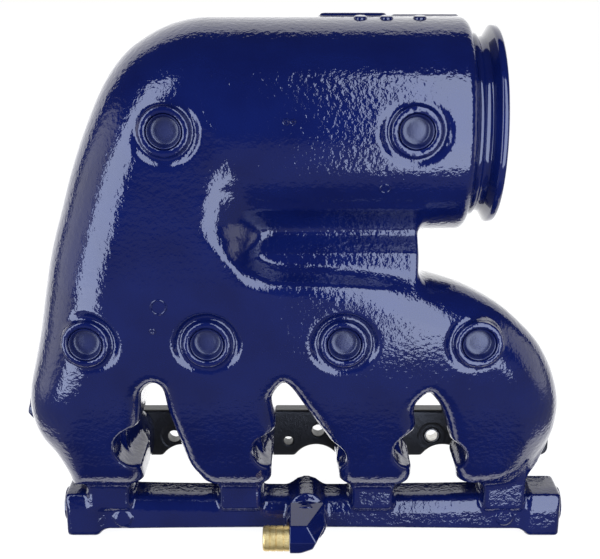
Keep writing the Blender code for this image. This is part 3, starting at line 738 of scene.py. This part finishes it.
def elbow_distance():
    """A forged elbow, turned on its thread: a faceted arm mitred round to its inlet."""
    grid = Grid((-18, -152, -56), (20, -110, -14), 0.7)
    x, y, z = np.meshgrid(*grid.axes, indexing="ij")
    tilt = math.radians(31)
    ahead = np.array((0, -math.cos(tilt), math.sin(tilt)))
    up = np.array((0, math.sin(tilt), math.cos(tilt)))
    side = np.array((1.0, 0, 0))
    centre = np.array((0, tail_y, tail_z))
    made = half_space((tail_high[0] + 0.3, 0, 0), (-1, 0, 0))(x, y, z)
    facets = [(ahead, 12), (0.6 * ahead - 0.8 * up, 10.4), (0.66 * ahead + 0.75 * up, 14.9),
              (-0.3 * ahead - up, 11.6), (-ahead, 12),
              (0.61 * side + 0.7 * ahead + 0.35 * up, 12.2),
              (0.88 * side - 0.48 * up, 8.8), (0.31 * side - 0.95 * up, 10.1),
              (0.8 * side + 0.6 * ahead, 14.5), (side, 15)]
    for direction, reach in facets:
        unit = direction / np.linalg.norm(direction)
        made = trim(made, half_space(centre + unit * reach, unit)(x, y, z), 0.8)
    inlet = disc_y(-0.5, BOSS_Z, 10.5, -134, -117.4, 1)(x, y, z)
    grid.value = blend(made, inlet, 1.2).astype(np.float32)
    return grid


link("elbow_forged", skin_mesh("elbow_forged", elbow_distance()), SMOOTH_PAINT,
     ["drain_elbow"])

# Bolt holes of the head flange (x, z, radius) and the arches under it.
HOLES = [(-216, 2, 5.5), (-122.6, -2.7, 5.9), (-16.4, -6.8, 4.4), (11.2, 3.5, 5.9),
         (117, -1.7, 7.4), (216, 2, 5.5)]
SPOT_FACES = [(-122.6, -2.7, 11.5), (117, -1.7, 12.5)]
ARCHES = [-114, 9.5, 127.6]


def flange_distance():
    """The head flange: a plate with bolt holes, ports and arches under it."""
    grid = Grid((-229, -18, -26), (229, 3, 28), 1.25)
    x, y, z = np.meshgrid(*grid.axes, indexing="ij")
    low, high = FLANGE_LOW, FLANGE_HIGH
    outline = trim(trim(low[0] - x, x - high[0], 0), trim(low[2] - z, z - high[2], 0), 8)
    for arch in ARCHES:
        outline = trim(outline, 23 - np.hypot(x - arch, z + 34), 2)
    grid.value = trim(outline, np.maximum(low[1] - y, y - high[1]), 2.4).astype(np.float32)
    for hx, hz, radius in SPOT_FACES:
        grid.carve((hx - radius, -18, hz - radius), (hx + radius, -13, hz + radius),
                   disc_y(hx, hz, radius, -30, low[1] + 0.7), 0.5)
    for hx, hz, radius in HOLES:
        grid.carve((hx - radius, -18, hz - radius), (hx + radius, 3, hz + radius),
                   rod((hx, -60, hz), (hx, 40, hz), radius), 0.7)
    for port in PORTS:
        grid.carve((port - 18, -18, -18), (port + 18, 3, 18),
                   rod((port, -60, 0), (port, 40, 0), 17.2), 0.7)
    return grid


link("flange_plate", skin_mesh("flange_plate", flange_distance()), BLACK, ["head_flange"])
bush_low, bush_high = node_box("flange_hole_bush")
bush = (bush_high[0] - bush_low[0]) / 2
bush_section = [(5.4, 0.6), (5.9, 0), (bush - 0.5, 0), (bush, 0.5), (bush, 13.2), (5.4, 13.2)]
link("hole_bush_turned", lathe("hole_bush_turned", bush_section,
                               ((bush_low[0] + bush_high[0]) / 2, bush_low[1],
                                (bush_low[2] + bush_high[2]) / 2), (0, 1, 0), 64),
     STEEL, ["flange_hole_bush"])

for name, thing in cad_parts.items():
    if "liner" in name or "runner" in name:
        for slot in thing.material_slots:
            slot.material = LINER


# ---- stage, in metres ---------------------------------------------------------------------
COOL_WHITE = (0.66, 0.75, 1.0)
SOFTBOX_HEIGHT = 2.3
SOFTBOX_MIDDLE = 0.7


def add_camera():
    """Aims at the pipe's axis plane from 17 degrees above, as the object was seen."""
    data = bpy.data.cameras.new("camera")
    data.sensor_width = 36
    data.lens = 62.76
    data.clip_start, data.clip_end = 0.01, 100
    camera = bpy.data.objects.new("camera", data)
    elevation, distance = math.radians(17), 0.8555
    target = Vector((-0.0056, PIPE_Y * MM, 0.172))
    back = Vector((0, -math.cos(elevation), math.sin(elevation)))
    camera.location = target + back * distance
    camera.rotation_euler = (math.pi / 2 - elevation, 0, 0)
    bpy.context.scene.collection.objects.link(camera)
    bpy.context.scene.camera = camera


def softbox(name, place, facing, width, power):
    """An upright light panel that stands at a place in X and Y and faces one way."""
    data = bpy.data.lights.new(name, "AREA")
    data.shape = "RECTANGLE"
    data.size, data.size_y = width, SOFTBOX_HEIGHT
    data.energy = power
    data.color = COOL_WHITE
    lamp = bpy.data.objects.new(name, data)
    lamp.location = (*place, SOFTBOX_MIDDLE)
    lamp.rotation_euler = (math.pi / 2, 0, math.atan2(facing[1], facing[0]) - math.pi / 2)
    lamp.visible_camera = False
    bpy.context.scene.collection.objects.link(lamp)


def add_floor():
    """A white floor that only the camera sees; the room stands in for it in reflections."""
    bm = bmesh.new()
    bmesh.ops.create_grid(bm, x_segments=1, y_segments=1, size=40)
    mesh = bpy.data.meshes.new("floor")
    bm.to_mesh(mesh)
    bm.free()
    material, shader = new_material("floor_white", (0.2, 0.2, 0.2), 0.9)
    shader.inputs["Specular IOR Level"].default_value = 0
    shader.inputs["Emission Color"].default_value = (1, 1, 1, 1)
    shader.inputs["Emission Strength"].default_value = 0.93
    mesh.materials.append(material)
    floor = bpy.data.objects.new("floor", mesh)
    floor.location = (0, 0, (RAIL_LOW[2] - 2.2) * MM)
    floor.visible_glossy = floor.visible_diffuse = floor.visible_shadow = False
    bpy.context.scene.collection.objects.link(floor)


def add_room():
    """White behind and beside the object, dark in front, with a dim floor.

    Strength goes by direction alone: x is the object's right, y is away from its front.
    """
    world = bpy.data.worlds.new("room")
    bpy.context.scene.world = world
    world.use_nodes = True
    tree = world.node_tree
    place = tree.nodes.new("ShaderNodeTexCoord")
    split = tree.nodes.new("ShaderNodeSeparateXYZ")
    tree.links.new(place.outputs["Generated"], split.inputs[0])

    def step(source, low, high, bright):
        made = tree.nodes.new("ShaderNodeMapRange")
        made.interpolation_type = "SMOOTHSTEP"
        made.inputs["From Min"].default_value = low
        made.inputs["From Max"].default_value = high
        made.inputs["To Max"].default_value = bright
        tree.links.new(source, made.inputs["Value"])
        return made.outputs[0]

    def combine(operation, first, second):
        made = tree.nodes.new("ShaderNodeMath")
        made.operation = operation
        for socket, value in zip(made.inputs, (first, second)):
            if isinstance(value, (int, float)):
                socket.default_value = value
            else:
                tree.links.new(value, socket)
        return made.outputs[0]

    x, y, z = split.outputs
    down = combine("MULTIPLY", z, -1)
    steep = step(down, 0.5, 0.8, 0.52)
    behind = step(combine("ADD", y, steep), 0.49, 0.54, 1.7)
    beside = step(combine("ABSOLUTE", x, 0), 0.88, 0.97, 1.5)
    below = combine("SUBTRACT", step(down, 0.05, 0.3, 0.28), step(down, 0.83, 0.88, 0.22))
    seen = combine("MAXIMUM", combine("MAXIMUM", behind, beside),
                   combine("MAXIMUM", below, 0.04))
    path = tree.nodes.new("ShaderNodeLightPath")
    seen = combine("MAXIMUM", seen, path.outputs["Is Camera Ray"])
    tree.links.new(seen, tree.nodes["Background"].inputs["Strength"])
    tree.nodes["Background"].inputs["Color"].default_value = (1, 1, 1, 1)


add_camera()
add_floor()
add_room()
softbox("softbox_right", (0.4875, -0.98), (0, 1), 0.725, 41)
softbox("softbox_left", (-0.87, -0.775), (0.527, 0.85), 0.6, 34)
bpy.context.scene.view_settings.view_transform = "Standard"
